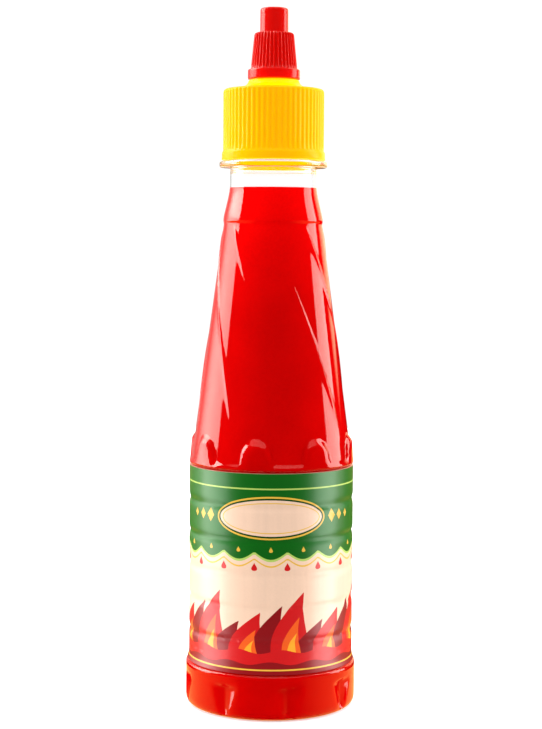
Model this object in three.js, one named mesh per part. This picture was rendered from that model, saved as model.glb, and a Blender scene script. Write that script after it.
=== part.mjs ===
// A squeeze bottle of hot sauce: a clear plastic bottle with a swirled neck cone, the sauce inside it,
// a wrap-around label, a ribbed screw cap and a small ribbed tip cap over the nozzle.
// Millimetres, +Z up. The origin is the centre of the standing ring, on the surface that it stands on.
// Angles are measured from the front (-Y), turning towards +X.
import * as THREE from "three";

// Pattern shared by the whole bottle: the same number of swirled ridges, shoulder domes and foot facets
const patternCount = 8;
const patternPhase = THREE.MathUtils.degToRad(11.2);
const patternStep = (2 * Math.PI) / patternCount;
const columnsPerPattern = 8;
const bottleColumns = patternCount * columnsPerPattern;
const sauceColumns = bottleColumns / 2;

// Foot
const puntHeight = 4.2;
const standInnerRadius = 18.5;
const puntCurveShare = 0.7;
const footRadius = 26.55;
const heelRadius = 3.4;
const standOuterRadius = footRadius - heelRadius;
const footTop = 15.2;
const footTopRound = 1.4;
const facetTop = 10.4;
const facetBottom = 2.1;
const facetLedge = 1.5;
const facetDepth = 1.1;
const facetHalfAngle = THREE.MathUtils.degToRad(10.3);
const facetLowShare = 0.45;

// Label panel
const panelRadius = 24.75;
const panelTop = 74.9;
const labelThickness = 0.75;
const labelGap = 0.15;
const labelMargin = 0.35;
const labelBottom = footTop + labelMargin;
const labelTop = panelTop - labelMargin;
const labelColumns = 40;
const grooveCount = 5;
const grooveFirst = 24.3;
const groovePitch = 10.2;
const grooveDepth = 0.4;
const grooveHalfWidth = 1.4;

// Shoulder ring, whose top edge rises in round domes
const shoulderRadius = 25.75;
const shoulderStep = 0.9;
const shoulderTop = 78.4;
const shoulderRound = 2.6;
const shoulderCurl = 0.8;
const domeHeight = 4.8;
const domeHalfAngle = THREE.MathUtils.degToRad(11.2);
const domeFadeHeight = 8.0;
const domeFullness = 0.6;

// Cone, with narrow ridges that swirl up it, more steeply aslant towards the top
const coneBottomRadius = 24.52;
const coneBottom = shoulderTop + shoulderRound;
const coneTopRadius = 15.25;
const coneTop = 150.2;
const coneRows = 8;
const skinConeRows = 5;
const twistBottom = 84.0;
const twistPerMm = THREE.MathUtils.degToRad(0.5);
const twistGrowth = THREE.MathUtils.degToRad(0.008);
const ridgeOffset = patternStep / 8;
const ridgeHeight = 0.4;
const ridgeHalfWidth = 1.0;
const ridgeStart = 18.0;
const ridgeEnd = 5.0;

// Lip, flare and neck
const lipRadius = 15.55;
const lipTaper = 0.2;
const lipHeight = 151.6;
const flareBottom = 153.0;
const flareTop = 161.6;
const flareBow = 0.6;
const flareBowDrop = 3.0;
const neckRadius = 13.35;
const ringRadius = 16.7;
const ringBottom = 167.4;
const ringTop = 169.5;
const ringEdge = 0.7;
const finishRadius = 12.9;
const finishTop = 188.4;
const boreRadius = 10.9;
const boreBottom = 171.0;
const boreFlareBottom = ringBottom - 1.0;

// Walls and sauce
const wall = 0.9;
const sauceGap = 0.3;
const sauceLevel = 161.2;

// Screw cap
const capBottom = 169.8;
const capTop = 191.7;
const capRadius = 15.6;
const capEdge = 1.2;
const capBandRadius = 16.05;
const capBandTop = 172.6;
const capRibCount = 60;
const capRibDepth = 0.4;
const capRibTop = capTop - capEdge;
const capBoreRadius = 13.6;
const capBoreTop = 188.9;
const collarRadius = 7.6;
const collarFillet = 2.4;
const collarTop = 194.5;

// Tip cap
const tipGap = 0.2;
const tipBottom = collarTop + tipGap;
const flangeRadius = 8.05;
const flangeTop = 197.7;
const tipEdge = 0.6;
const gripBottomRadius = 7.15;
const gripTopRadius = 6.1;
const gripTop = 208.2;
const tipRibCount = 36;
const tipRibDepth = 0.45;
const nibRadius = 4.35;
const nibTop = 216.5;

// Vertices closer than this are taken as one
const hair = 1e-3;

const finishes = {
  clearPlastic: { color: 0xf2f6f7, roughness: 0.08, metalness: 0, transparent: true, opacity: 0.3 },
  sauce: { color: 0xd40806, roughness: 0.25, metalness: 0 },
  labelFilm: { color: 0x1f7a2e, roughness: 0.3, metalness: 0 },
  yellowPlastic: { color: 0xfdc400, roughness: 0.35, metalness: 0 },
  redPlastic: { color: 0xdc140c, roughness: 0.3, metalness: 0 },
};

// Radius of the plain cone at a height
function coneRadius(z) {
  return THREE.MathUtils.mapLinear(z, coneBottom, coneTop, coneBottomRadius, coneTopRadius);
}

// An angle brought into half a pattern either side of the nearest repeat
function offCentre(angle) {
  return angle - patternStep * Math.round(angle / patternStep);
}

// Points of a path as a lathe outline, each curve cut into two steps
function outlineOf(path) {
  const seen = path.getPoints(2);
  return seen.filter((p, i) => i === 0 || p.distanceTo(seen[i - 1]) > hair);
}

// A solid of revolution about +Z, with its first column at the front
function turned(outline, columns) {
  return new THREE.LatheGeometry(outline, columns).rotateX(Math.PI / 2);
}

// Moves every vertex of a turned solid by a rule on its radius, angle and height
function reshape(geometry, rule) {
  const position = geometry.getAttribute("position");
  for (let i = 0; i < position.count; i++) {
    const x = position.getX(i);
    const y = position.getY(i);
    const old = { radius: Math.hypot(x, y), angle: Math.atan2(x, -y), z: position.getZ(i) };
    const { radius, angle, z } = { ...old, ...rule(old) };
    position.setXYZ(i, radius * Math.sin(angle), -radius * Math.cos(angle), z);
  }
  return geometry;
}

// How far the columns have turned at a height, so that they follow the ridges of the swirl
function twistAt(z) {
  const climb = THREE.MathUtils.clamp(z, twistBottom, coneTop) - twistBottom;
  return twistPerMm * climb + twistGrowth * climb ** 2;
}

// Outline of a shoulder dome: a round arch, with level stretches between the domes
function domeArch(offDome) {
  return Math.max(0, 1 - (offDome / domeHalfAngle) ** 2) ** domeFullness;
}

// How much of the domes shows at a height, from none at the panel to all at the shoulder's top edge
function domeRise(z) {
  return THREE.MathUtils.smoothstep(z, panelTop + shoulderStep, shoulderTop);
}

// Height that a shoulder dome adds
function domeLift(arch, z) {
  const fade = 1 - THREE.MathUtils.smoothstep(z, coneBottom, coneBottom + domeFadeHeight);
  return domeHeight * arch * domeRise(z) * fade;
}

// How far the shoulder draws in between the domes, where it runs straight on from the cone
function valleyPull(arch, z) {
  const run = THREE.MathUtils.clamp((z - shoulderTop) / (coneBottom - shoulderTop), 0, 1);
  return (1 - arch) * domeRise(z) * (1 - run ** 2) * (shoulderRadius - coneRadius(z));
}

// Height of a swirled ridge above the cone
function ridgeLift(offRidge, radius, z) {
  const across = (offRidge * radius) / ridgeHalfWidth;
  const start = THREE.MathUtils.smoothstep(z, coneBottom, coneBottom + ridgeStart);
  const end = 1 - THREE.MathUtils.smoothstep(z, coneTop - ridgeEnd, coneTop);
  return ridgeHeight * Math.exp(-(across ** 2)) * start * end;
}

// Depth of a hollowed facet of the foot, two flats that meet in a valley, narrower towards its lower end
function facetCut(offFacet, radius, z) {
  if (radius < standInnerRadius || z < facetBottom) return 0;
  const run = THREE.MathUtils.clamp((z - facetBottom) / (facetTop - facetBottom), 0, 1);
  const share = THREE.MathUtils.lerp(facetLowShare, 1, run);
  const valley = Math.max(0, 1 - Math.abs(offFacet) / (facetHalfAngle * share));
  const fade = 1 - THREE.MathUtils.smoothstep(z, facetTop, facetTop + facetLedge);
  return facetDepth * share * valley * fade;
}

// The bottle's relief, the same on its outside, its inside and the sauce
function bottleRelief({ radius, angle, z }) {
  const arch = domeArch(offCentre(angle - patternStep / 2));
  const height = z + domeLift(arch, z);
  const onCone = THREE.MathUtils.clamp((z - shoulderTop) / (coneBottom - shoulderTop), 0, 1);
  const taper = onCone * (coneRadius(height) - coneRadius(z));
  const ridge = ridgeLift(offCentre(angle - ridgeOffset), radius, height);
  const cut = facetCut(offCentre(angle), radius, z) + valleyPull(arch, z);
  return {
    radius: Math.max(0, radius + taper + ridge - cut),
    angle: angle + patternPhase - twistAt(height),
    z: height,
  };
}

// Outside of the bottle from the middle of the punt to the mouth
function drawOutside(path) {
  path.moveTo(0, puntHeight);
  path.quadraticCurveTo(standInnerRadius * puntCurveShare, puntHeight, standInnerRadius, 0);
  path.lineTo(standOuterRadius, 0);
  path.quadraticCurveTo(footRadius, 0, footRadius, heelRadius);
  path.lineTo(footRadius, facetTop);
  path.lineTo(footRadius, facetTop + facetLedge);
  path.lineTo(footRadius, footTop - footTopRound);
  path.quadraticCurveTo(footRadius, footTop, footRadius - footTopRound, footTop);
  path.lineTo(panelRadius, footTop);
  path.lineTo(panelRadius, panelTop);
  path.lineTo(shoulderRadius, panelTop + shoulderStep);
  path.lineTo(shoulderRadius, shoulderTop);
  path.quadraticCurveTo(shoulderRadius, coneBottom - shoulderCurl, coneBottomRadius, coneBottom);
  for (let row = 1; row <= coneRows; row++) {
    const z = THREE.MathUtils.lerp(coneBottom, coneTop, row / coneRows);
    path.lineTo(coneRadius(z), z);
  }
  path.lineTo(lipRadius, lipHeight);
  path.lineTo(lipRadius - lipTaper, flareBottom);
  path.quadraticCurveTo(neckRadius + flareBow, flareTop - flareBowDrop, neckRadius, flareTop);
  path.lineTo(neckRadius, ringBottom);
  path.lineTo(ringRadius - ringEdge, ringBottom);
  path.lineTo(ringRadius, ringBottom + ringEdge);
  path.lineTo(ringRadius, ringTop - ringEdge);
  path.lineTo(ringRadius - ringEdge, ringTop);
  path.lineTo(finishRadius, ringTop);
  path.lineTo(finishRadius, finishTop);
}

// A skin that lies a given depth inside the outside, from the neck down to the middle of the floor
function drawSkin(path, depth) {
  const bowRadius = neckRadius + flareBow - depth;
  path.lineTo(neckRadius - depth, flareTop - depth / 2);
  path.quadraticCurveTo(bowRadius, flareTop - flareBowDrop, lipRadius - lipTaper - depth, flareBottom);
  path.lineTo(coneTopRadius - depth, coneTop);
  for (let row = skinConeRows - 1; row >= 0; row--) {
    const z = THREE.MathUtils.lerp(coneBottom, coneTop, row / skinConeRows);
    path.lineTo(coneRadius(z) - depth, z);
  }
  path.lineTo(shoulderRadius - depth, shoulderTop - depth);
  path.lineTo(shoulderRadius - depth, panelTop + shoulderStep + depth / 2);
  path.lineTo(panelRadius - depth, panelTop - depth / 2);
  path.lineTo(panelRadius - depth, footTop + depth / 2);
  path.lineTo(footRadius - depth, footTop - footTopRound - depth / 2);
  path.lineTo(footRadius - depth, facetTop);
  path.lineTo(footRadius - depth, heelRadius);
  path.lineTo(standOuterRadius, depth);
  path.lineTo(standInnerRadius, depth);
  path.quadraticCurveTo(standInnerRadius * puntCurveShare, puntHeight + depth, 0, puntHeight + depth);
}

function bottleGeometry() {
  const path = new THREE.Path();
  drawOutside(path);
  path.lineTo(boreRadius, finishTop);
  path.lineTo(boreRadius, boreBottom);
  path.lineTo(neckRadius - wall, boreFlareBottom);
  drawSkin(path, wall);
  return reshape(turned(outlineOf(path), bottleColumns), bottleRelief);
}

function sauceGeometry() {
  const depth = wall + sauceGap;
  const path = new THREE.Path();
  path.moveTo(0, sauceLevel);
  path.lineTo(neckRadius - depth, sauceLevel);
  drawSkin(path, depth);
  return reshape(turned(outlineOf(path).reverse(), sauceColumns), bottleRelief);
}

// A straight inside against the panel, and an outside that dips over the panel's grooves
function labelGeometry() {
  const inside = panelRadius + labelGap;
  const outside = inside + labelThickness;
  const path = new THREE.Path();
  path.moveTo(inside, labelBottom);
  path.lineTo(outside, labelBottom);
  for (let groove = 0; groove < grooveCount; groove++) {
    const z = grooveFirst + groove * groovePitch;
    path.lineTo(outside, z - grooveHalfWidth);
    path.lineTo(outside - grooveDepth, z);
    path.lineTo(outside, z + grooveHalfWidth);
  }
  path.lineTo(outside, labelTop);
  path.lineTo(inside, labelTop);
  path.lineTo(inside, labelBottom);
  return turned(path.getPoints(), labelColumns);
}

// Every second column of the grip is a valley between two ribs
function ribRelief(count, depth, low, high, innermost) {
  return ({ radius, angle, z }) => {
    const column = Math.round((angle * count) / Math.PI);
    const isRib = column % 2 === 0 || z < low - hair || z > high + hair || radius < innermost - hair;
    return { radius: isRib ? radius : radius - depth };
  };
}

function screwCapGeometry() {
  const path = new THREE.Path();
  path.moveTo(0, capBoreTop);
  path.lineTo(capBoreRadius, capBoreTop);
  path.lineTo(capBoreRadius, capBottom);
  path.lineTo(capBandRadius, capBottom);
  path.lineTo(capRadius, capBandTop);
  path.lineTo(capRadius, capRibTop);
  path.quadraticCurveTo(capRadius, capTop, capRadius - capEdge, capTop);
  path.lineTo(collarRadius + collarFillet, capTop);
  path.lineTo(collarRadius, capTop + collarFillet);
  path.lineTo(collarRadius, collarTop);
  path.lineTo(0, collarTop);
  const relief = ribRelief(capRibCount, capRibDepth, capBandTop, capRibTop, capRadius);
  return reshape(turned(outlineOf(path), 2 * capRibCount), relief);
}

function tipCapGeometry() {
  const path = new THREE.Path();
  path.moveTo(0, tipBottom);
  path.lineTo(flangeRadius, tipBottom);
  path.lineTo(flangeRadius, flangeTop - tipEdge);
  path.lineTo(flangeRadius - tipEdge, flangeTop);
  path.lineTo(gripBottomRadius, flangeTop);
  path.lineTo(gripTopRadius, gripTop);
  path.lineTo(gripTopRadius - tipEdge, gripTop + tipEdge);
  path.lineTo(nibRadius, gripTop + tipEdge);
  path.lineTo(nibRadius, nibTop - tipEdge);
  path.quadraticCurveTo(nibRadius, nibTop, nibRadius - tipEdge, nibTop);
  path.lineTo(0, nibTop);
  const relief = ribRelief(tipRibCount, tipRibDepth, flangeTop, gripTop, gripTopRadius);
  const keepFlange = (vertex) => (vertex.radius > gripBottomRadius + hair ? {} : relief(vertex));
  return reshape(turned(outlineOf(path), 2 * tipRibCount), keepFlange);
}

function part(name, geometry, finish) {
  const mesh = new THREE.Mesh(geometry, new THREE.MeshStandardMaterial(finish));
  mesh.name = name;
  return mesh;
}

const sauceBottle = new THREE.Group();
sauceBottle.name = "hot_sauce_bottle";
sauceBottle.add(
  part("bottle", bottleGeometry(), finishes.clearPlastic),
  part("sauce", sauceGeometry(), finishes.sauce),
  part("label", labelGeometry(), finishes.labelFilm),
  part("screw_cap", screwCapGeometry(), finishes.yellowPlastic),
  part("tip_cap", tipCapGeometry(), finishes.redPlastic),
);

export default sauceBottle;
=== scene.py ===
import math
import bpy
import numpy as np
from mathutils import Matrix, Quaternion, Vector
from mathutils.geometry import delaunay_2d_cdt


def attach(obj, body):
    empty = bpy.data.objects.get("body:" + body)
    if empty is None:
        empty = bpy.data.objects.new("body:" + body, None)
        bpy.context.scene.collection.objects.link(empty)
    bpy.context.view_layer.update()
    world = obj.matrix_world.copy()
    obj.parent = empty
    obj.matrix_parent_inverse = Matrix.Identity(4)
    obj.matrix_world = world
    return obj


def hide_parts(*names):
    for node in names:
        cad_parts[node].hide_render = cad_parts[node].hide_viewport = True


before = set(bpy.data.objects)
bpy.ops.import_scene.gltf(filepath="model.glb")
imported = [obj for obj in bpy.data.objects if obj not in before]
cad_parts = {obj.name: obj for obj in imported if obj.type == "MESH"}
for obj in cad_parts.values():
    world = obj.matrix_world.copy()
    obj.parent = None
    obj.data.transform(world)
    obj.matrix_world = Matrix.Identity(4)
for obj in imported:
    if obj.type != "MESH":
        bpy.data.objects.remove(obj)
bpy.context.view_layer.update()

scene = bpy.context.scene
mm = 0.001
deg = math.pi / 180
hair = 1e-7  # metres, as good as nothing


# small helpers for node trees
def addNode(tree, kind, **settings):
    node = tree.nodes.new(kind)
    for name, value in settings.items():
        setattr(node, name, value)
    return node


def plug(tree, target, value):  # a socket is linked, a plain value is set
    if isinstance(value, bpy.types.NodeSocket):
        tree.links.new(value, target)
    else:
        target.default_value = value


def mathIn(tree):
    def calc(operation, *values):
        node = addNode(tree, "ShaderNodeMath", operation=operation)
        for target, value in zip(node.inputs, values):
            plug(tree, target, value)
        return node.outputs[0]
    return calc


def rampIn(tree):
    def ramp(value, low, high, start=0.0, end=1.0, kind="SMOOTHSTEP"):
        node = addNode(tree, "ShaderNodeMapRange", interpolation_type=kind)
        for target, given in zip(node.inputs, (value, low, high, start, end)):
            plug(tree, target, given)
        return node.outputs[0]
    return ramp


bendShare = 0.48  # most of a stretch that the softness of one corner takes


# outlines are (radius, height, softness) corners in mm, spun about Z; a fourth number is the
# spacing of the rows on the straight stretch that ends at that corner
def softOutline(corners, bend=8):
    marks = [np.array(c[:2], float) for c in corners]
    points = []
    for i, (here, corner) in enumerate(zip(marks, corners)):
        arc = [here]
        if corner[2]:
            ends = []
            for other in (marks[i - 1], marks[i + 1]):
                way = other - here
                reach = np.linalg.norm(way)
                ends.append(here + way / reach * min(corner[2], bendShare * reach))
            rounds = np.linspace(0, 1, bend)
            arc = [ends[0] * (1 - t) ** 2 + 2 * here * t * (1 - t) + ends[1] * t ** 2 for t in rounds]
        if len(corner) > 3:
            start = points[-1]
            parts = math.ceil(np.linalg.norm(arc[0] - start) / corner[3])
            points += [start + (arc[0] - start) * k / parts for k in range(1, parts)]
        points += arc
    return np.array(points) * mm


def spinShell(name, outline, columns, crowd=None):
    turn = np.arange(columns) * 2 * math.pi / columns
    if crowd:  # columns stand closer about repeated lines
        count, offset, share = crowd
        turn = turn - share * np.sin(count * (turn - offset)) / count
    verts, rows = [], []
    for radius, height in outline:
        if radius < hair:
            rows.append([len(verts)] * columns)
            verts.append((0.0, 0.0, height))
        else:
            rows.append(list(range(len(verts), len(verts) + columns)))
            verts += [(radius * math.sin(a), -radius * math.cos(a), height) for a in turn]
    faces = []
    for low, high in zip(rows, rows[1:]):
        for j in range(columns):
            k = (j + 1) % columns
            corners = (low[j], low[k], high[k], high[j])
            faces.append(tuple(dict.fromkeys(corners)))
    mesh = bpy.data.meshes.new(name)
    mesh.from_pydata(verts, [], faces)
    mesh.polygons.foreach_set("use_smooth", [True] * len(faces))
    piece = bpy.data.objects.new(name, mesh)
    scene.collection.objects.link(piece)
    return piece


# runs a node tree on a piece with its named sizes, and keeps the result as a plain mesh
def bakeTree(piece, tree, sizes, finish, sharp):
    modifier = piece.modifiers.new("shape", "NODES")
    modifier.node_group = tree
    for socket in tree.interface.items_tree:
        if socket.in_out == "INPUT" and socket.name in sizes:
            modifier[socket.identifier] = float(sizes[socket.name])
        elif socket.in_out == "INPUT" and socket.name == "Finish":
            modifier[socket.identifier] = finish
    graph = bpy.context.evaluated_depsgraph_get()
    mesh = bpy.data.meshes.new_from_object(piece.evaluated_get(graph), depsgraph=graph)
    piece.modifiers.remove(modifier)
    rough = piece.data
    piece.data = mesh
    bpy.data.meshes.remove(rough)
    mesh.name = piece.name
    mesh.set_sharp_from_angle(angle=sharp * deg)


def startTree(name, sizes):
    tree = bpy.data.node_groups.new(name, "GeometryNodeTree")
    tree.interface.new_socket("Shell", in_out="INPUT", socket_type="NodeSocketGeometry")
    for size in sizes:
        tree.interface.new_socket(size, in_out="INPUT", socket_type="NodeSocketFloat")
    tree.interface.new_socket("Finish", in_out="INPUT", socket_type="NodeSocketMaterial")
    tree.interface.new_socket("Shell", in_out="OUTPUT", socket_type="NodeSocketGeometry")
    inputs = addNode(tree, "NodeGroupInput").outputs
    place = addNode(tree, "ShaderNodeSeparateXYZ")
    plug(tree, place.inputs[0], addNode(tree, "GeometryNodeInputPosition").outputs[0])
    return tree, inputs, place.outputs


def endTree(tree, inputs, x, y, z):
    move = addNode(tree, "GeometryNodeSetPosition")
    spot = addNode(tree, "ShaderNodeCombineXYZ")
    for target, value in zip(spot.inputs, (x, y, z)):
        plug(tree, target, value)
    plug(tree, move.inputs["Geometry"], inputs["Shell"])
    plug(tree, move.inputs["Position"], spot.outputs[0])
    realize = addNode(tree, "GeometryNodeRealizeInstances")
    paint = addNode(tree, "GeometryNodeSetMaterial")
    plug(tree, realize.inputs[0], move.outputs[0])
    plug(tree, paint.inputs["Geometry"], realize.outputs[0])
    plug(tree, paint.inputs["Material"], inputs["Finish"])
    plug(tree, addNode(tree, "NodeGroupOutput").inputs[0], paint.outputs[0])


def settle(piece, node):
    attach(piece, "root")
    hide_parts(node)


# finishes
bumpDepth = 0.2 * mm
grainGloss = 0.12  # how far the roughness follows the grain of a mould
waveGloss = 0.08  # and the waves of a film


def srgb(*colour):
    parts = [c / 255 for c in colour]
    return [c / 12.92 if c < 0.04045 else ((c + 0.055) / 1.055) ** 2.4 for c in parts] + [1.0]


def startMaterial(name):
    material = bpy.data.materials.new(name)
    material.use_nodes = True
    tree = material.node_tree
    return material, tree, tree.nodes["Principled BSDF"]


def startGroup(name, numbers):
    tree = bpy.data.node_groups.new(name, "ShaderNodeTree")
    tree.interface.new_socket("Colour", in_out="INPUT", socket_type="NodeSocketColor")
    for number in numbers:
        tree.interface.new_socket(number, in_out="INPUT", socket_type="NodeSocketFloat")
    tree.interface.new_socket("Colour", in_out="OUTPUT", socket_type="NodeSocketColor")
    tree.interface.new_socket("Roughness", in_out="OUTPUT", socket_type="NodeSocketFloat")
    tree.interface.new_socket("Height", in_out="OUTPUT", socket_type="NodeSocketFloat")
    return tree, addNode(tree, "NodeGroupInput").outputs, addNode(tree, "NodeGroupOutput").inputs


def noiseAt(tree, scale, detail=3.0, stretch=None):
    where = addNode(tree, "ShaderNodeTexCoord").outputs["Object"]
    if stretch:
        mapping = addNode(tree, "ShaderNodeMapping")
        mapping.inputs["Scale"].default_value = stretch
        plug(tree, mapping.inputs["Vector"], where)
        where = mapping.outputs[0]
    noise = addNode(tree, "ShaderNodeTexNoise")
    noise.inputs["Scale"].default_value = scale
    noise.inputs["Detail"].default_value = detail
    plug(tree, noise.inputs["Vector"], where)
    return noise.outputs[0]


def tinted(tree, colour, factor):  # multiplies a colour by a value near 1
    scale = addNode(tree, "ShaderNodeVectorMath", operation="SCALE")
    plug(tree, scale.inputs[0], colour)
    plug(tree, scale.inputs["Scale"], factor)
    return scale.outputs[0]


# moulded plastic: slow drift of tone, fine grain of the mould, gloss that varies with both
def makeMouldedSkin():
    tree, given, out = startGroup("mouldedSkin", ("Tone", "Gloss", "Grain"))
    calc = mathIn(tree)
    drift = noiseAt(tree, scale=90.0, detail=4.0)
    grain = noiseAt(tree, scale=2600.0, detail=2.0)
    tone = calc("MULTIPLY_ADD", calc("SUBTRACT", drift, 0.5), given["Tone"], 1.0)
    plug(tree, out["Colour"], tinted(tree, given["Colour"], tone))
    gloss = calc("MULTIPLY_ADD", calc("SUBTRACT", grain, 0.5), grainGloss, given["Gloss"])
    plug(tree, out["Roughness"], gloss)
    plug(tree, out["Height"], calc("MULTIPLY", grain, given["Grain"]))
    return tree


# printed film: ink that lies a little uneven, faint upright streaks, gloss of the film over it
def makePrintedFilm():
    tree, given, out = startGroup("printedFilm", ("Streak", "Speckle", "Gloss"))
    calc = mathIn(tree)
    streak = noiseAt(tree, scale=1.0, detail=3.0, stretch=(420.0, 420.0, 14.0))
    speckle = noiseAt(tree, scale=1900.0, detail=1.0)
    wave = noiseAt(tree, scale=70.0, detail=2.0)
    tone = calc("MULTIPLY_ADD", calc("SUBTRACT", streak, 0.5), given["Streak"], 1.0)
    tone = calc("MULTIPLY_ADD", calc("SUBTRACT", speckle, 0.5), given["Speckle"], tone)
    plug(tree, out["Colour"], tinted(tree, given["Colour"], tone))
    gloss = calc("MULTIPLY_ADD", calc("SUBTRACT", wave, 0.5), waveGloss, given["Gloss"])
    plug(tree, out["Roughness"], gloss)
    plug(tree, out["Height"], wave)
    return tree


def dressed(name, group, colour, bump, **numbers):
    material, tree, shader = startMaterial(name)
    skin = addNode(tree, "ShaderNodeGroup")
    skin.node_tree = group
    skin.inputs["Colour"].default_value = colour
    for number, value in numbers.items():
        skin.inputs[number].default_value = value
    relief = addNode(tree, "ShaderNodeBump")
    relief.inputs["Strength"].default_value = bump
    relief.inputs["Distance"].default_value = bumpDepth
    plug(tree, relief.inputs["Height"], skin.outputs["Height"])
    plug(tree, shader.inputs["Base Color"], skin.outputs["Colour"])
    plug(tree, shader.inputs["Roughness"], skin.outputs["Roughness"])
    plug(tree, shader.inputs["Normal"], relief.outputs[0])
    return material, shader


# light that goes into a body and out again, depth in mm
def letSeep(shader, weight, spread, depth):
    shader.inputs["Subsurface Weight"].default_value = weight
    shader.inputs["Subsurface Radius"].default_value = spread
    shader.inputs["Subsurface Scale"].default_value = depth * mm


mouldedSkin = makeMouldedSkin()
printedFilm = makePrintedFilm()
noiseSpan = (0.3, 0.7)  # where nearly all values of a noise lie

clearPlastic = dict(ior=1.5, gloss=(0.012, 0.035), bump=0.06, bumpDepth=1.0, lastBounce=5.5)


def makeClearPlastic():
    s = clearPlastic
    material, tree, shader = startMaterial("clearPlastic")
    ramp = rampIn(tree)
    shader.inputs["Base Color"].default_value = (1.0, 1.0, 1.0, 1.0)
    shader.inputs["Transmission Weight"].default_value = 1.0
    shader.inputs["IOR"].default_value = s["ior"]
    flow = noiseAt(tree, scale=45.0, detail=2.0, stretch=(1.0, 1.0, 0.4))  # slow waves of blown plastic
    plug(tree, shader.inputs["Roughness"], ramp(flow, *noiseSpan, *s["gloss"]))
    relief = addNode(tree, "ShaderNodeBump")
    relief.inputs["Strength"].default_value = s["bump"]
    relief.inputs["Distance"].default_value = s["bumpDepth"] * mm
    plug(tree, relief.inputs["Height"], flow)
    plug(tree, shader.inputs["Normal"], relief.outputs[0])
    clear = addNode(tree, "ShaderNodeBsdfTransparent")  # light reaches the sauce through the wall
    mix = addNode(tree, "ShaderNodeMixShader")
    calc, path = mathIn(tree), addNode(tree, "ShaderNodeLightPath").outputs
    spent = calc("GREATER_THAN", path["Ray Depth"], s["lastBounce"])  # after many bounces it goes straight on
    plug(tree, mix.inputs[0], calc("MAXIMUM", path["Is Shadow Ray"], spent))
    plug(tree, mix.inputs[1], shader.outputs[0])
    plug(tree, mix.inputs[2], clear.outputs[0])
    plug(tree, tree.nodes["Material Output"].inputs["Surface"], mix.outputs[0])
    return material


sauceRed = dict(
    # painted light: a ramp up the height brightens the sauce's colour towards the neck
    colour=(0.74, 0.0012, 0.0012), brightTowardsNeck=(0.115, 0.165), tone=(0.93, 1.28), bodyTone=(0.96, 1.04),
    pulpTone=(-0.03, 0.03), gloss=(0.3, 0.4), seep=0.35, seepSpread=(1.0, 0.1, 0.03), seepDepth=4.0,
)


def makeSauceRed():
    s = sauceRed
    material, tree, shader = startMaterial("sauceRed")
    ramp, calc = rampIn(tree), mathIn(tree)
    place = addNode(tree, "ShaderNodeSeparateXYZ")
    plug(tree, place.inputs[0], addNode(tree, "ShaderNodeTexCoord").outputs["Object"])
    depth = ramp(place.outputs["Z"], *s["brightTowardsNeck"], *s["tone"])  # painted light: the colour is made brighter towards the neck, where thinner sauce lets more light through
    body = noiseAt(tree, scale=60.0, detail=3.0)
    pulp = noiseAt(tree, scale=1400.0, detail=2.0)
    tone = calc("ADD", ramp(body, *noiseSpan, *s["bodyTone"]), ramp(pulp, *noiseSpan, *s["pulpTone"]))
    plug(tree, shader.inputs["Base Color"], tinted(tree, s["colour"], calc("MULTIPLY", tone, depth)))
    plug(tree, shader.inputs["Roughness"], ramp(pulp, *noiseSpan, *s["gloss"]))
    shader.inputs["Specular IOR Level"].default_value = 0.0  # the wall touches it, so no gloss of its own
    letSeep(shader, s["seep"], s["seepSpread"], s["seepDepth"])
    return material


# the clear bottle, its sauce and the rule that both follow
bottleSizes = dict(
    punt=4.2, puntCurve=13.0, standInner=18.5, footRadius=26.55, heel=2.9, footTop=14.0, footRound=0.9,
    panelRadius=24.75, panelTop=75.7, ringRadius=25.75, ringStep=0.5, ringTaper=0.4, ringEdge=78.8,
    coneFoot=81.0, coneFootRadius=24.52, coneTop=150.2, coneTopRadius=15.25,
    lipRadius=15.48, lipHeight=151.3, lipTall=1.4, lipTaper=0.2, neckRadius=13.35, neckFoot=160.8,
    collarRadius=16.7, collarLow=167.4, collarHigh=169.5, collarLean=0.15, collarFall=0.1,
    mouthRadius=12.9, mouthTop=188.4, boreRadius=10.9, boreFoot=171.0, boreFlare=166.4,
    wall=0.9, sauceDepth=0.45, sauceLevel=161.2, creep=0.5, creepWide=2.0, creepHigh=0.2,
    columns=256, columnCrowd=0.6, sauceColumns=128, footRows=0.6, ringRows=0.6, coneRows=1.0, skinRows=2.5,
)
coneRun = bottleSizes["coneTop"] - bottleSizes["coneFoot"]
reliefSizes = {
    "Pattern Count": 8, "Pattern Phase": 11.2 * deg,
    "Dome Height": 4.8 * mm, "Dome Half Angle": 11.2 * deg, "Dome Fullness": 0.6,
    "Dome Low": 76.6 * mm, "Dome Edge": 78.4 * mm, "Dome Fade": 12 * mm,
    "Ring Radius": bottleSizes["ringRadius"] * mm, "Ring Taper": bottleSizes["ringTaper"] * mm,
    "Ring Foot": (bottleSizes["panelTop"] + bottleSizes["ringStep"]) * mm,
    "Ring Edge": bottleSizes["ringEdge"] * mm,
    "Cone Foot": bottleSizes["coneFoot"] * mm, "Cone Top": bottleSizes["coneTop"] * mm,
    "Cone Foot Radius": bottleSizes["coneFootRadius"] * mm,
    "Cone Slope": (bottleSizes["coneTopRadius"] - bottleSizes["coneFootRadius"]) / coneRun,
    "Twist Foot": 84 * mm, "Twist Rate": 0.5 * deg / mm, "Twist Growth": 0.008 * deg / mm ** 2,
    "Ridge Offset": 45 / 8 * deg, "Ridge Height": 0.27 * mm, "Ridge Left": 0.9 * mm, "Ridge Right": 0.52 * mm,
    "Ridge Start": 18 * mm, "Ridge End": 5 * mm,
    "Facet Low": 2.1 * mm, "Facet High": 9.4 * mm, "Facet Ledge": 1.5 * mm, "Facet Toe": 0.8 * mm,
    "Facet Depth": 0.96 * mm, "Facet Half Angle": 10.3 * deg, "Facet Low Share": 0.45,
    "Facet Offset": 1.3 * deg, "Facet Floor": 20 * mm,
}


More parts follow.
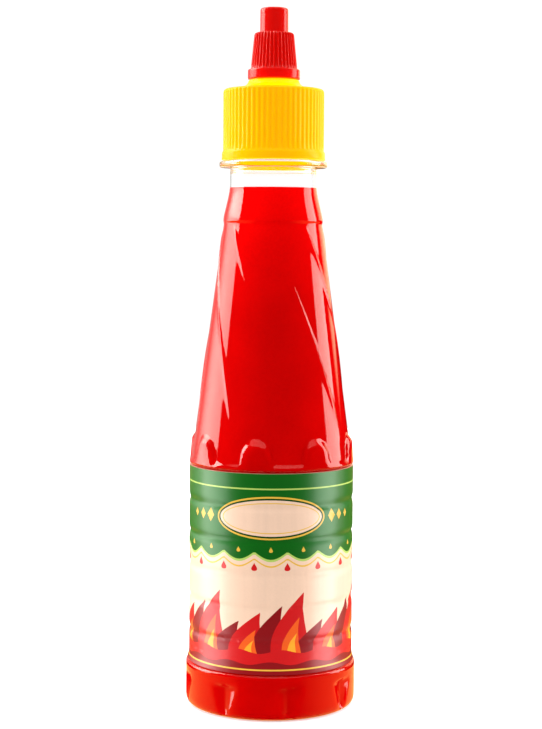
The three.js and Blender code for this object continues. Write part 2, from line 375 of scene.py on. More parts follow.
def outsideCorners(s):
    return [
        (0, s["punt"], 0), (s["puntCurve"], s["punt"], 5), (s["standInner"], 0, 0.8),
        (s["footRadius"], 0, s["heel"]), (s["footRadius"], s["footTop"], s["footRound"], s["footRows"]),
        (s["panelRadius"], s["footTop"], 0.3), (s["panelRadius"], s["panelTop"], 0.3),
        (s["ringRadius"], s["panelTop"] + s["ringStep"], 0.5),
        (s["ringRadius"] - s["ringTaper"], s["ringEdge"], 0.9, s["ringRows"]),
        (s["coneFootRadius"], s["coneFoot"], 0.9), (s["coneTopRadius"], s["coneTop"], 0.5, s["coneRows"]),
        (s["lipRadius"], s["lipHeight"], 0.5),
        (s["lipRadius"] - s["lipTaper"], s["lipHeight"] + s["lipTall"], 0.8),
        (s["neckRadius"], s["neckFoot"], 3.0), (s["neckRadius"], s["collarLow"], 0.5),
        (s["collarRadius"], s["collarLow"] + s["collarLean"], 0.7),
        (s["collarRadius"], s["collarHigh"] - s["collarFall"], 0.7), (s["mouthRadius"], s["collarHigh"], 0.4),
        (s["mouthRadius"], s["mouthTop"], 0.5), (s["boreRadius"], s["mouthTop"], 0.5),
        (s["boreRadius"], s["boreFoot"], 1.0), (s["neckRadius"] - s["wall"], s["boreFlare"], 1.0),
    ]


def skinCorners(s, depth):  # from the neck down to the middle of the floor, inside the outside by depth
    rows = s["skinRows"]
    return [
        (s["neckRadius"] - depth, s["neckFoot"], 3.0),
        (s["lipRadius"] - s["lipTaper"] - depth, s["lipHeight"] + s["lipTall"], 0.8),
        (s["lipRadius"] - depth, s["lipHeight"], 0.6), (s["coneTopRadius"] - depth, s["coneTop"], 0.5),
        (s["coneFootRadius"] - depth, s["coneFoot"], 0.8, rows),
        (s["ringRadius"] - depth, s["ringEdge"] - depth, 0.8),
        (s["ringRadius"] - depth, s["panelTop"] + s["ringStep"] + depth / 2, 0.5, rows / 2),
        (s["panelRadius"] - depth, s["panelTop"], 0.3), (s["panelRadius"] - depth, s["footTop"], 0.3),
        (s["footRadius"] - depth, s["footTop"] - depth, 1.2), (s["footRadius"] - depth, depth, 2.2, rows / 2),
        (s["standInner"], depth, 0.8), (s["puntCurve"], s["punt"] + depth, 5), (0, s["punt"] + depth, 0),
    ]


def makeReliefTree():
    tree, given, (x, y, z) = startTree("bottleRelief", reliefSizes)
    calc, ramp = mathIn(tree), rampIn(tree)
    radius = calc("SQRT", calc("MULTIPLY_ADD", x, x, calc("MULTIPLY", y, y)))
    angle = calc("ARCTAN2", x, calc("MULTIPLY", y, -1.0))
    count = given["Pattern Count"]
    step = calc("DIVIDE", 2 * math.pi, count)

    def offCentre(value):
        return calc("SUBTRACT", value, calc("MULTIPLY", step, calc("ROUND", calc("DIVIDE", value, step))))

    # round domes along the top edge of the shoulder ring, level between them
    offDome = calc("DIVIDE", offCentre(calc("MULTIPLY_ADD", step, -0.5, angle)), given["Dome Half Angle"])
    bow = calc("MAXIMUM", calc("SUBTRACT", 1.0, calc("MULTIPLY", offDome, offDome)), 0.0)
    rise = ramp(z, given["Dome Low"], given["Dome Edge"])
    fade = ramp(z, given["Cone Foot"], calc("ADD", given["Cone Foot"], given["Dome Fade"]), 1.0, 0.0)
    full = calc("POWER", bow, given["Dome Fullness"])
    arch = calc("MULTIPLY", given["Dome Height"], full)
    lift = calc("MULTIPLY", arch, calc("MULTIPLY", rise, fade))
    height = calc("ADD", z, lift)
    onCone = ramp(z, given["Ring Edge"], given["Cone Foot"], kind="LINEAR")
    fullRadius = calc("MULTIPLY_ADD", calc("MULTIPLY", lift, given["Cone Slope"]), onCone, radius)

    # between the domes the ring is drawn in, to run straight on from the cone
    below = calc("SUBTRACT", calc("MINIMUM", z, given["Ring Edge"]), given["Cone Foot"])
    coneLine = calc("MULTIPLY_ADD", below, given["Cone Slope"], given["Cone Foot Radius"])
    taper = ramp(z, given["Ring Foot"], given["Ring Edge"], 0.0, given["Ring Taper"], kind="LINEAR")
    stands = calc("SUBTRACT", calc("SUBTRACT", given["Ring Radius"], taper), coneLine)
    onRing = calc("MULTIPLY", rise, calc("SUBTRACT", 1.0, onCone))
    drawnIn = calc("MULTIPLY", onRing, calc("SUBTRACT", 1.0, full))
    fullRadius = calc("SUBTRACT", fullRadius, calc("MULTIPLY", stands, drawnIn))

    # narrow ridges that swirl up the cone, more steeply aslant towards the top
    offRidge = offCentre(calc("SUBTRACT", angle, given["Ridge Offset"]))
    isLeft = calc("LESS_THAN", offRidge, 0.0)
    wider = calc("SUBTRACT", given["Ridge Left"], given["Ridge Right"])
    flank = calc("MULTIPLY_ADD", isLeft, wider, given["Ridge Right"])
    across = calc("DIVIDE", calc("MULTIPLY", offRidge, fullRadius), flank)
    bead = calc("EXPONENT", calc("MULTIPLY", calc("MULTIPLY", across, across), -1.0))
    start = ramp(height, given["Cone Foot"], calc("ADD", given["Cone Foot"], given["Ridge Start"]))
    end = ramp(height, calc("SUBTRACT", given["Cone Top"], given["Ridge End"]), given["Cone Top"], 1.0, 0.0)
    ridge = calc("MULTIPLY", calc("MULTIPLY", given["Ridge Height"], bead), calc("MULTIPLY", start, end))
    level = calc("MINIMUM", calc("MAXIMUM", height, given["Twist Foot"]), given["Cone Top"])
    climb = calc("SUBTRACT", level, given["Twist Foot"])
    turned = calc("MULTIPLY", climb, calc("MULTIPLY_ADD", given["Twist Growth"], climb, given["Twist Rate"]))

    # hollowed facets round the foot, two flats that meet in a valley, narrower towards their lower ends
    share = ramp(z, given["Facet Low"], given["Facet High"], given["Facet Low Share"], 1.0, kind="LINEAR")
    half = calc("MULTIPLY", given["Facet Half Angle"], share)
    offFacet = calc("DIVIDE", offCentre(calc("SUBTRACT", angle, given["Facet Offset"])), half)
    chord = calc("SUBTRACT", calc("COSINE", calc("MULTIPLY", offFacet, half)), calc("COSINE", half))
    valley = calc("SUBTRACT", 1.0, calc("ABSOLUTE", offFacet))
    flats = calc("MULTIPLY_ADD", given["Facet Depth"], valley, calc("MULTIPLY", chord, radius))
    ledge = ramp(z, given["Facet High"], calc("ADD", given["Facet High"], given["Facet Ledge"]), 1.0, 0.0)
    toe = ramp(z, calc("SUBTRACT", given["Facet Low"], given["Facet Toe"]), given["Facet Low"])
    onFoot = calc("GREATER_THAN", radius, given["Facet Floor"])
    shows = calc("MULTIPLY", onFoot, calc("MULTIPLY", ledge, toe))
    cut = calc("MULTIPLY", calc("MAXIMUM", flats, 0.0), shows)

    heading = calc("SUBTRACT", calc("ADD", angle, given["Pattern Phase"]), turned)
    reach = calc("SUBTRACT", calc("ADD", fullRadius, ridge), cut)
    outX = calc("MULTIPLY", reach, calc("SINE", heading))
    outY = calc("MULTIPLY", reach, calc("MULTIPLY", calc("COSINE", heading), -1.0))
    endTree(tree, given, outX, outY, height)
    return tree


def makeBottle():
    s = bottleSizes
    outline = softOutline(outsideCorners(s) + skinCorners(s, s["wall"]), bend=6)
    crowd = (reliefSizes["Pattern Count"], reliefSizes["Ridge Offset"], s["columnCrowd"])
    bottle = spinShell("clearBottle", outline, s["columns"], crowd)
    bakeTree(bottle, reliefTree, reliefSizes, makeClearPlastic(), sharp=40)
    settle(bottle, "bottle")


def makeSauce():
    s = bottleSizes
    depth = s["sauceDepth"]
    edge = s["neckRadius"] - depth
    high = s["sauceLevel"] + s["creepHigh"]  # it creeps up a little at the wall
    low = high - s["creep"]
    top = [(0, low, 0), (edge - s["creepWide"], low, 1.0), (edge, high, 0.2)]
    outline = softOutline(top + skinCorners(s, depth), bend=5)[::-1]
    sauce = spinShell("redSauce", outline, s["sauceColumns"])
    smooth = {**reliefSizes, "Ridge Height": 0.0}  # the ridges are in the wall alone
    bakeTree(sauce, reliefTree, smooth, makeSauceRed(), sharp=40)
    settle(sauce, "sauce")


reliefTree = makeReliefTree()
makeBottle()
makeSauce()
print("bottle and sauce made")


# ribbed caps: a spun shell whose grip is cut into ribs
gripSizes = (
    "Rib Count", "Rib Depth", "Rib Low", "Rib High", "Low Fade", "High Fade", "Rib Floor", "Rib Sharpness",
)


def makeGripTree():
    tree, given, (x, y, z) = startTree("gripRibs", gripSizes)
    calc, ramp = mathIn(tree), rampIn(tree)
    radius = calc("SQRT", calc("MULTIPLY_ADD", x, x, calc("MULTIPLY", y, y)))
    angle = calc("ARCTAN2", x, calc("MULTIPLY", y, -1.0))
    wave = calc("MULTIPLY_ADD", calc("COSINE", calc("MULTIPLY", angle, given["Rib Count"])), -0.5, 0.5)
    valley = calc("POWER", wave, given["Rib Sharpness"])
    low = ramp(z, given["Rib Low"], calc("ADD", given["Rib Low"], given["Low Fade"]))
    high = ramp(z, calc("SUBTRACT", given["Rib High"], given["High Fade"]), given["Rib High"], 1.0, 0.0)
    outer = calc("GREATER_THAN", radius, given["Rib Floor"])
    shows = calc("MULTIPLY", outer, calc("MULTIPLY", low, high))
    cut = calc("MULTIPLY", calc("MULTIPLY", given["Rib Depth"], valley), shows)
    share = calc("SUBTRACT", 1.0, calc("DIVIDE", cut, calc("MAXIMUM", radius, 0.1 * mm)))
    endTree(tree, given, calc("MULTIPLY", x, share), calc("MULTIPLY", y, share), z)
    return tree


def gripOf(s):  # the sizes of a cap's ribs, under the names in the node tree
    return {
        "Rib Count": s["ribs"], "Rib Depth": s["ribDepth"] * mm, "Rib Low": s["gripFoot"] * mm,
        "Rib High": s["ribTop"] * mm, "Low Fade": s["lowFade"] * mm, "High Fade": s["highFade"] * mm,
        "Rib Floor": s["ribFloor"] * mm, "Rib Sharpness": s["ribSharpness"],
    }


screwCap = dict(
    bottom=169.8, top=191.7, radius=15.6, bandRadius=16.05, bandLean=0.1, bandEdge=172.1, gripFoot=172.7,
    bore=13.6, boreTop=188.9, sweep=10.8, sweepFoot=191.8, sweepEnd=8.3, sweepTop=193.0,
    collar=7.7, collarTop=194.5, ribs=60, ribDepth=0.24, ribFloor=14.5, ribTop=191.6, ribSharpness=1.1,
    lowFade=0.5, highFade=1.2, columnsPerRib=8, stepRows=0.3, gripRows=2.0,
    colour=srgb(255, 180, 0), tone=0.1, gloss=0.2, grain=1.0, bump=0.15, shine=0.07,
    # painted glow: the cap is given a faint emission all over, and a strong one in its bore and at its foot
    paintedGlow=0.1, paintedBoreGlow=0.85, paintedGlowBoreFade=(0.1, 0.9), paintedGlowFootFade=(0.05, 0.4),
    seep=0.3, seepSpread=(1.0, 0.5, 0.02), seepDepth=1.0,
)


def makeCapYellow():
    s = screwCap
    skin = dict(Tone=s["tone"], Gloss=s["gloss"], Grain=s["grain"])
    material, shader = dressed("capYellow", mouldedSkin, s["colour"], s["bump"], **skin)
    tree = material.node_tree
    calc, ramp = mathIn(tree), rampIn(tree)
    place = addNode(tree, "ShaderNodeSeparateXYZ")
    plug(tree, place.inputs[0], addNode(tree, "ShaderNodeTexCoord").outputs["Object"])
    x, y, z = place.outputs
    radius = calc("SQRT", calc("MULTIPLY_ADD", x, x, calc("MULTIPLY", y, y)))
    # painted glow: emission in the cap's own colour, faint all over and strong in the bore and under the
    # foot, though the cap is no lamp
    near, far = ((s["bore"] + reach) * mm for reach in s["paintedGlowBoreFade"])
    low, high = ((s["bottom"] + reach) * mm for reach in s["paintedGlowFootFade"])
    inside = ramp(radius, near, far, s["paintedBoreGlow"], s["paintedGlow"])
    under = ramp(z, low, high, s["paintedBoreGlow"], s["paintedGlow"])
    through = calc("MAXIMUM", inside, under)  # painted glow: emission stands in for light that comes through the thin wall into the bore
    plug(tree, shader.inputs["Emission Color"], tinted(tree, s["colour"][:3], through))
    shader.inputs["Emission Strength"].default_value = 1.0
    shader.inputs["Specular IOR Level"].default_value = s["shine"]
    letSeep(shader, s["seep"], s["seepSpread"], s["seepDepth"])
    return material


def makeScrewCap():
    s = screwCap
    corners = [
        (0, s["boreTop"], 0), (s["bore"], s["boreTop"], 0.6), (s["bore"], s["bottom"], 0.3),
        (s["bandRadius"], s["bottom"], 0.35), (s["bandRadius"] - s["bandLean"], s["bandEdge"], 0.3),
        (s["radius"], s["gripFoot"], 0.3, s["stepRows"]), (s["radius"], s["top"], 1.3, s["gripRows"]),
        (s["sweep"], s["sweepFoot"], 1.2), (s["sweepEnd"], s["sweepTop"], 1.2),
        (s["collar"], s["collarTop"], 0.4), (0, s["collarTop"], 0),
    ]
    cap = spinShell("ribbedCap", softOutline(corners), s["ribs"] * s["columnsPerRib"])
    bakeTree(cap, gripTree, gripOf(s), makeCapYellow(), sharp=50)
    settle(cap, "screw_cap")


tipCap = dict(
    bottom=194.7, flange=8.05, flangeTop=197.7, gripFoot=197.75, gripLow=7.2, gripHigh=6.1, gripTop=208.9,
    nib=4.35, nibFoot=209.0, nibTaper=0.05, top=216.5, ribs=36, ribDepth=0.45, ribFloor=4.85, ribTop=209.0,
    ribSharpness=1.0, lowFade=0.3, highFade=0.5, columnsPerRib=12, gripRows=1.0,
    colour=srgb(214, 8, 3), tone=0.1, gloss=0.12, grain=1.0, bump=0.15, shine=0.3,
    seep=0.1, seepSpread=(1.0, 0.1, 0.05), seepDepth=0.8,
)


def makeTipCap():
    s = tipCap
    corners = [
        (0, s["bottom"], 0), (s["flange"], s["bottom"], 0.35), (s["flange"], s["flangeTop"], 0.5),
        (s["gripLow"], s["gripFoot"], 0.15), (s["gripHigh"], s["gripTop"], 0.9, s["gripRows"]),
        (s["nib"], s["nibFoot"], 0.2), (s["nib"] - s["nibTaper"], s["top"], 0.9), (0, s["top"], 0),
    ]
    tip = spinShell("ribbedTip", softOutline(corners), s["ribs"] * s["columnsPerRib"])
    skin = dict(Tone=s["tone"], Gloss=s["gloss"], Grain=s["grain"])
    finish, shader = dressed("tipRed", mouldedSkin, s["colour"], s["bump"], **skin)
    shader.inputs["Specular IOR Level"].default_value = s["shine"]
    letSeep(shader, s["seep"], s["seepSpread"], s["seepDepth"])
    bakeTree(tip, gripTree, gripOf(s), finish, sharp=50)
    settle(tip, "tip_cap")


gripTree = makeGripTree()
makeScrewCap()
makeTipCap()
print("caps made")


# wrap-around label: flat print in mm (along the wrap, up), cut into inks, then wrapped
label = dict(
    radius=25.65, inside=24.85, bottom=14.4, top=75.4, flare=0.5, flareHeight=2.6,
    overlap=3.0, lap=0.12, lapLong=7.0, lapRise=3.0,
    grooves=5, grooveFirst=24.3, groovePitch=10.2, grooveDepth=0.4, grooveSoft=0.95,
    hemHeight=37.5, hemScallops=16, hemDrop=2.4, limeRule=(56.2, 56.65), goldRule=(1.2, 1.65),
    hemBands=((2.4, "gold"), (1.9, "cream"), (0.7, "lime"), (0.0, "green")),
    redDrop=(32.9, 2.6, 1.9), goldDrop=(38.1, 1.7, 1.2),
    plateHeight=47.6, plateWide=17.5, plateTall=6.6,
    plateRings=((0.0, "gold"), (0.55, "deepGreen"), (1.1, "cream"), (1.9, "gold"), (2.2, "cream")),
    diamonds=((20.5, 1.5, 2.1), (24.1, 1.2, 1.7), (27.7, 0.9, 1.3)),
    flames=12, flameFoot=5.0, flameTall=20.0, flameShort=14.0, flameLean=3.6,
    redWave=(7.0, 0.6, 0.0), darkWave=(3.4, 0.5, 1.6),
    backPanel=62.0, backHeight=27.0, backWide=13.0, backTall=13.5,
    backFrames=((0.0, 2.2, "green"), (0.6, 1.8, "cream")),
    backRules=8, ruleTop=36.6, rulePitch=2.75, ruleWide=10.6, ruleTall=0.28, ruleSoft=0.2,
    gridAlong=1.3, gridUp=0.8, weld=1e-4, sharp=50,
    gloss=0.33, shine=0.25, speckle=0.06, streak=0.05, creamStreak=0.14, bump=0.05,
)
flameLayers = (  # shift, height, width, lean and ink, dark flames first and their bright cores over them
    ((0.5, 0.8, 0.8, 1.0, "deepRed"), (0.0, 1.0, 0.95, 1.0, "red")),
    ((0.0, 0.62, 0.46, 0.62, "orange"), (0.0, 0.38, 0.22, 0.38, "amber")),
)
inks = dict(
    cream=(240, 203, 176), green=(2, 98, 10), deepGreen=(2, 66, 8), lime=(176, 204, 96), gold=(230, 180, 60),
    red=(206, 10, 14), deepRed=(140, 4, 12), orange=(238, 92, 20), amber=(250, 168, 40), rule=(168, 170, 130),
)
labelHigh = label["top"] - label["bottom"]
wrapHalf = math.pi * label["radius"] + label["overlap"] / 2


def ovalShape(u, v, wide, tall, steps=72):
    turn = np.arange(steps) * 2 * math.pi / steps
    return np.column_stack((u + wide * np.cos(turn), v + tall * np.sin(turn)))


def stripShape(lowEdge, highEdge, steps=260):
    along = np.linspace(-wrapHalf, wrapHalf, steps)
    lower = np.column_stack((along, np.broadcast_to(lowEdge(along), along.shape)))
    upper = np.column_stack((along, np.broadcast_to(highEdge(along), along.shape)))
    return np.vstack((lower, upper[::-1]))


def dropShape(u, v, long, wide, steps=14):  # pointed above, round below
    turn = np.arange(steps) * 2 * math.pi / steps
    pinch = 0.5 * wide * np.sin(turn) * (1 - np.cos(turn)) / 1.3  # 1.3 is the most that this product reaches
    return np.column_stack((u + pinch, v + 0.5 * long * np.cos(turn)))


def diamondShape(u, v, wide, tall):
    return np.array(((u - wide, v), (u, v - tall), (u + wide, v), (u, v + tall)))


def flameShape(u, foot, height, width, lean, steps=20):
    t = np.linspace(0, 1, steps)
    middle = lean * (t ** 2 - 0.35 * np.sin(math.pi * t))
    half = width / 2 * (1 - t) ** 0.85 * (1 + 0.25 * np.sin(math.pi * t))
    left = np.column_stack((u + middle - half, foot + height * t))
    right = np.column_stack((u + middle + half, foot + height * t))
    return np.vstack((left, right[-2::-1]))


def panelShape(u, v, wide, tall, soft, steps=6):
    path = []
    for k, (sx, sy) in enumerate(((1, 1), (-1, 1), (-1, -1), (1, -1))):
        for turn in np.linspace(0, math.pi / 2, steps) + k * math.pi / 2:
            reach = soft * math.cos(turn), soft * math.sin(turn)
            path.append((u + sx * (wide - soft) + reach[0], v + sy * (tall - soft) + reach[1]))
    return np.array(path)


# the print from the back to the front
def labelShapes():
    s = label
    around = 2 * math.pi * s["radius"]
    scallop = around / s["hemScallops"]
    pitch = around / s["flames"]

    def level(height):
        return lambda u: height

    def hem(drop):
        return lambda u: s["hemHeight"] - drop - s["hemDrop"] * np.abs(np.cos(math.pi * u / scallop))

    def wave(height, swing, shift):
        return lambda u: height + swing * np.sin(2 * math.pi * u / pitch + shift)

    shapes = [("cream", stripShape(level(0), level(labelHigh)))]
    for drop, ink in s["hemBands"]:
        shapes.append((ink, stripShape(hem(drop), level(labelHigh))))
    low, high = s["limeRule"]
    shapes.append(("lime", stripShape(level(low), level(high))))
    for k in range(s["hemScallops"]):  # a small drop hangs at every join of the scalloped hem
        u = (k + 0.5 - s["hemScallops"] / 2) * scallop
        shapes.append(("red", dropShape(u, *s["redDrop"])))
        shapes.append(("gold", dropShape(u + scallop / 2, *s["goldDrop"])))
    for layers in flameLayers:
        for k in range(s["flames"]):  # tall and short flames by turns, all leaning one way
            u = (k + 0.5 - s["flames"] / 2) * pitch
            tall = s["flameShort"] if k % 2 else s["flameTall"]
            for shift, share, wide, bend, ink in layers:
                lean = s["flameLean"] * bend
                flame = flameShape(u - shift * pitch, s["flameFoot"], tall * share, wide * pitch, lean)
                shapes.append((ink, flame))
    shapes.append(("red", stripShape(level(0), wave(*s["redWave"]))))
    shapes.append(("deepRed", stripShape(level(0), wave(*s["darkWave"]))))
    low, high = s["goldRule"]
    shapes.append(("gold", stripShape(level(low), level(high))))
    for shrink, ink in s["plateRings"]:  # bare oval plate
        shapes.append((ink, ovalShape(0, s["plateHeight"], s["plateWide"] - shrink, s["plateTall"] - shrink)))
    for side in (-1, 1):
        for out, wide, tall in s["diamonds"]:  # beside the plate
            shapes.append(("gold", diamondShape(side * out, s["plateHeight"], wide, tall)))
        u = side * s["backPanel"]  # plain ruled panels towards the back
        for shrink, soft, ink in s["backFrames"]:
            wide, tall = s["backWide"] - shrink, s["backTall"] - shrink
            shapes.append((ink, panelShape(u, s["backHeight"], wide, tall, soft)))
        for k in range(s["backRules"]):
            v = s["ruleTop"] - s["rulePitch"] * k
            shapes.append(("rule", panelShape(u, v, s["ruleWide"], s["ruleTall"], s["ruleSoft"], steps=2)))
    return shapes


def insideShape(points, shape):
    low, high = shape.min(axis=0), shape.max(axis=0)
    hit = np.zeros(len(points), bool)
    near = np.nonzero(np.all((points >= low) & (points <= high), axis=1))[0]
    x, y = points[near, 0], points[near, 1]
    within = np.zeros(len(near), bool)
    for (ax, ay), (bx, by) in zip(shape, np.roll(shape, -1, axis=0)):
        if ay != by:
            within ^= ((ay > y) != (by > y)) & (x < (bx - ax) * (y - ay) / (by - ay) + ax)
    hit[near] = within
    return hit


def grooveDip(z):
    dip = np.zeros_like(z)
    for k in range(label["grooves"]):
        dip += np.exp(-((z - label["grooveFirst"] - k * label["groovePitch"]) / label["grooveSoft"]) ** 2)
    return label["grooveDepth"] * dip


def wrapped(flat, depth):
    z = label["bottom"] + flat[:, 1]
    freeEnd = flat[:, 0] - wrapHalf + label["lapLong"]
    lap = label["lap"] * np.clip(freeEnd / label["lapRise"], 0, 1)  # the free end lies over the other
    flare = label["flare"] * np.clip(1 - flat[:, 1] / label["flareHeight"], 0, 1) ** 2  # over the foot's edge
    radius = label["radius"] + lap + (flare - grooveDip(z) if depth == 0 else -depth)
    turn = flat[:, 0] / label["radius"]
    return np.column_stack((radius * np.sin(turn), -radius * np.cos(turn), z)) * mm


def makeLabel():
    shapes = labelShapes()
    along = np.linspace(-wrapHalf, wrapHalf, round(2 * wrapHalf / label["gridAlong"]))
    up = np.linspace(0, labelHigh, round(labelHigh / label["gridUp"]))
    points = [Vector((u, v)) for u in along for v in up]
    edges = []
    for ink, shape in shapes:
        first = len(points)
        clipped = np.clip(shape, (-wrapHalf, 0), (wrapHalf, labelHigh))
        points += [Vector(p) for p in clipped]
        edges += [(first + k, first + (k + 1) % len(shape)) for k in range(len(shape))]
    cut = delaunay_2d_cdt(points, edges, [], 0, label["weld"], False)
    flat = np.array([tuple(p) for p in cut[0]])
    triangles = np.array(cut[2])
    middle = flat[triangles].mean(axis=1)
    ink = np.zeros(len(triangles), int)
    names = list(inks)
    for name, shape in shapes:
        ink[insideShape(middle, shape)] = names.index(name)
    outside = wrapped(flat, 0)
    inside = wrapped(flat, label["radius"] - label["inside"])
    count = len(flat)
    side = np.roll(triangles, -1, axis=1)
    rim = dict.fromkeys(zip(triangles.ravel(), side.ravel()))
    faces = [tuple(t) for t in triangles] + [tuple(t[::-1] + count) for t in triangles]
    border = [(int(a), int(b)) for a, b in rim if (b, a) not in rim]
    faces += [(b, a, a + count, b + count) for a, b in border]
    mesh = bpy.data.meshes.new("wrapLabel")
    mesh.from_pydata(np.vstack((outside, inside)).tolist(), [], faces)
    tone = np.concatenate((ink, np.zeros(len(triangles) + len(border), int)))
    for name in names:
        streak = label["creamStreak"] if name == "cream" else label["streak"]
        film = dict(Streak=streak, Speckle=label["speckle"], Gloss=label["gloss"])
        finish, shader = dressed(name + "Ink", printedFilm, srgb(*inks[name]), label["bump"], **film)
        shader.inputs["Specular IOR Level"].default_value = label["shine"]
        mesh.materials.append(finish)
    mesh.polygons.foreach_set("material_index", tone)
    mesh.polygons.foreach_set("use_smooth", [True] * len(faces))
    mesh.set_sharp_from_angle(angle=label["sharp"] * deg)
    piece = bpy.data.objects.new("wrapLabel", mesh)
    scene.collection.objects.link(piece)
    settle(piece, "label")
    shinesOnLabel.objects.link(piece)
    print("label made,", len(faces), "faces")


shinesOnLabel = bpy.data.collections.new("shinesOnLabel")
makeLabel()


# studio: white sweep, soft boxes that only gloss sees, soft lights that only matt surfaces see
studio = dict(
    floorFront=-0.05, floorBack=0.8, floorSide=0.8, floorDrop=0.0001, floorTone=(0.88, 0.9), floorRough=0.9,
    floorGlow=0.4, lampAim=(0, 0, 0.1),
    boxLow=(-0.131, -0.108), boxHigh=(0.75, 0.95), boxTint=(1.0, 0.96, 0.87), edgeSoft=1.5,
    leftEdge=-86, leftFade=(-146, -106), leftGlow=(0.8, 10.5), leftDim=(0.15, 0.24, 0.55),
    rightBox=(90, 119), rightGlow=5.0,
    lowGap=(-0.243, -0.236, -0.139, -0.131), gapFade=(110, 130), lowFade=(40, 140), lowTop=(-0.118, -0.098),
    lowGlow=1.5, lowTint=(1.0, 0.55, 0.15),
    backLow=(-0.01, 0.02), backFade=(130, 140), backGlow=1.75, backTint=(1.0, 0.85, 0.5),
    frontGlow=0.004, topLow=(0.58, 0.68), topSide=(60, 90), topGlow=1.0, fill=0.75, sweep=1.06,
)


def makeFloor():
    s = studio
    side, front, back = s["floorSide"], s["floorFront"], s["floorBack"]
    mesh = bpy.data.meshes.new("floor")
    corners = ((-side, front), (side, front), (side, back), (-side, back))
    mesh.from_pydata([(x, y, -s["floorDrop"]) for x, y in corners], [], [(0, 1, 2, 3)])
    material, tree, shader = startMaterial("paleFloor")
    ramp = rampIn(tree)
    tone = ramp(noiseAt(tree, scale=8.0), *noiseSpan, *s["floorTone"])
    plug(tree, shader.inputs["Base Color"], tinted(tree, (1.0, 1.0, 1.0), tone))
    shader.inputs["Roughness"].default_value = s["floorRough"]
    shader.inputs["Specular IOR Level"].default_value = 0.0
    shader.inputs["Emission Color"].default_value = (1.0, 1.0, 1.0, 1.0)
    shader.inputs["Emission Strength"].default_value = s["floorGlow"]
    mesh.materials.append(material)
    floor = bpy.data.objects.new("floor", mesh)
    floor.visible_glossy = False  # the gloss shows the boxes and the low glow instead
    scene.collection.objects.link(floor)


def makeWorld():
    s = studio
    world = bpy.data.worlds.new("studio")
    scene.world = world
    world.use_nodes = True
    world.cycles.sampling_method = "NONE"
    tree = world.node_tree
    tree.nodes.clear()
    calc, ramp = mathIn(tree), rampIn(tree)
    way = addNode(tree, "ShaderNodeSeparateXYZ")
    plug(tree, way.inputs[0], addNode(tree, "ShaderNodeTexCoord").outputs["Generated"])
    x, y, z = way.outputs
    turn = calc("MULTIPLY", calc("ARCTAN2", x, calc("MULTIPLY", y, -1.0)), 180 / math.pi)
    aside = calc("ABSOLUTE", turn)
    above = ramp(z, *s["boxLow"])
    tall = calc("MULTIPLY", above, ramp(z, *s["boxHigh"], 1.0, 0.0))

    def board(strength, tint=(1.0, 1.0, 1.0)):
        node = addNode(tree, "ShaderNodeBackground")
        node.inputs["Color"].default_value = (*tint, 1.0)
        plug(tree, node.inputs["Strength"], strength)
        return node.outputs[0]

    def merged(kind, *parts):
        node = addNode(tree, kind)
        for target, part in zip(node.inputs, parts):
            plug(tree, target, part)
        return node.outputs[0]

    def pastEdge(edge, start=0.0, end=1.0):  # across the soft edge of a box
        return ramp(turn, edge - s["edgeSoft"], edge + s["edgeSoft"], start, end)

    left = calc("MULTIPLY", pastEdge(s["leftEdge"], 1.0, 0.0), ramp(turn, *s["leftFade"], *s["leftGlow"]))
    left = calc("MULTIPLY", left, ramp(z, *s["leftDim"], 1.0, "LINEAR"))
    low, high = s["rightBox"]
    strip = calc("MULTIPLY", pastEdge(low), pastEdge(high, 1.0, 0.0))
    boxes = calc("MULTIPLY", calc("MULTIPLY_ADD", strip, s["rightGlow"], left), tall)
    dim = ramp(z, *s["lowTop"], 1.0, 0.0)
    lowest, low, high, highest = s["lowGap"]  # the heights that the label mirrors
    gap = calc("MULTIPLY", ramp(z, lowest, low), ramp(z, high, highest, 1.0, 0.0))
    gap = calc("SUBTRACT", 1.0, calc("MULTIPLY", gap, ramp(aside, *s["gapFade"])))
    warm = ramp(aside, *s["lowFade"], 0.0, s["lowGlow"], "LINEAR")
    warm = calc("MULTIPLY", warm, calc("MULTIPLY", dim, gap))
    back = calc("MULTIPLY", ramp(turn, *s["backFade"], 0.0, s["backGlow"]), ramp(z, *s["backLow"]))
    top = calc("MULTIPLY", ramp(z, *s["topLow"], 0.0, s["topGlow"]), ramp(aside, *s["topSide"], 1.0, 0.0))
    gloss = board(calc("ADD", boxes, calc("ADD", top, s["frontGlow"])), s["boxTint"])
    gloss = merged("ShaderNodeAddShader", gloss, board(warm, s["lowTint"]))
    gloss = merged("ShaderNodeAddShader", gloss, board(back, s["backTint"]))
    path = addNode(tree, "ShaderNodeLightPath").outputs
    lit = merged("ShaderNodeMixShader", path["Is Glossy Ray"], board(s["fill"]), gloss)
    through = calc("MAXIMUM", path["Is Camera Ray"], path["Is Transmission Ray"])
    seen = merged("ShaderNodeMixShader", through, lit, board(s["sweep"]))
    plug(tree, addNode(tree, "ShaderNodeOutputWorld").inputs["Surface"], seen)


softLights = {
    "topSoft": dict(place=(0.0, 0.1, 1.3), size=1.6, watts=11.0),
    "leftSoft": dict(place=(-0.9, -0.1, 0.35), size=0.8, watts=7.5),
    "rightSoft": dict(place=(0.9, 0.0, 0.35), size=0.8, watts=6.0),
    "leftRim": dict(place=(-0.6, 0.75, 0.2), size=0.5, watts=5.0),
    "rightRim": dict(place=(0.6, 0.75, 0.2), size=0.5, watts=5.0),
}


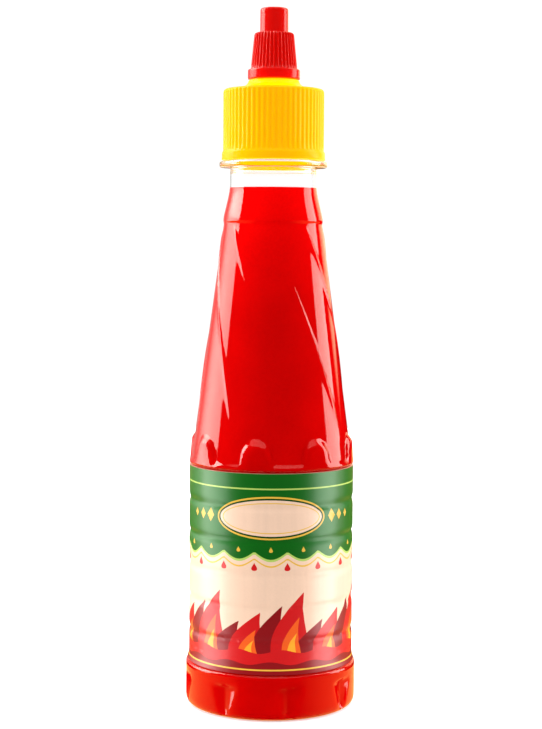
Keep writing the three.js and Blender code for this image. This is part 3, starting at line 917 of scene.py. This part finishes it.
# two soft boxes that only the film of the label mirrors
labelBoxes = {
    "labelLeft": dict(turn=-86, away=0.6, height=-0.06, wide=0.5, tall=0.36, watts=4.8),
    "labelRight": dict(turn=81, away=0.6, height=-0.06, wide=0.4, tall=0.36, watts=4.4),
}


def hangLamp(name, place, aim, wide, tall, watts):
    data = bpy.data.lights.new(name, "AREA")
    data.shape = "RECTANGLE"
    data.size = wide
    data.size_y = tall
    data.energy = watts
    lamp = bpy.data.objects.new(name, data)
    lamp.location = place
    lamp.rotation_euler = (Vector(aim) - Vector(place)).to_track_quat("-Z", "Y").to_euler()
    lamp.visible_camera = lamp.visible_transmission = False
    scene.collection.objects.link(lamp)
    return lamp


def makeLights():
    for name, s in softLights.items():
        lamp = hangLamp(name, s["place"], studio["lampAim"], s["size"], s["size"], s["watts"])
        lamp.visible_glossy = False
    for name, s in labelBoxes.items():
        turn = s["turn"] * deg
        place = (s["away"] * math.sin(turn), -s["away"] * math.cos(turn), s["height"])
        lamp = hangLamp(name, place, (0, 0, s["height"]), s["wide"], s["tall"], s["watts"])
        lamp.visible_diffuse = False
        lamp.data.use_shadow = False  # it hangs below the level of the floor
        lamp.light_linking.receiver_collection = shinesOnLabel


viewpoint = dict(
    aim=(-0.00034, 0.0, 0.10647), away=0.540, rise=4.12, roll=0.37, lens=85.33, sensor=36.0, clip=0.01,
)


def makeCamera():
    s = viewpoint
    data = bpy.data.cameras.new("camera")
    data.sensor_fit = "VERTICAL"
    data.sensor_height = s["sensor"]
    data.lens = s["lens"]
    data.clip_start = s["clip"]
    camera = bpy.data.objects.new("camera", data)
    back = Vector((0, -math.cos(s["rise"] * deg), math.sin(s["rise"] * deg)))
    camera.location = Vector(s["aim"]) + back * s["away"]
    roll = Quaternion((0, 0, 1), s["roll"] * deg)
    camera.rotation_euler = ((-back).to_track_quat("-Z", "Y") @ roll).to_euler()
    scene.collection.objects.link(camera)
    scene.camera = camera


makeFloor()
makeWorld()
makeLights()
makeCamera()
scene.view_settings.view_transform = "Standard"
print("studio made")
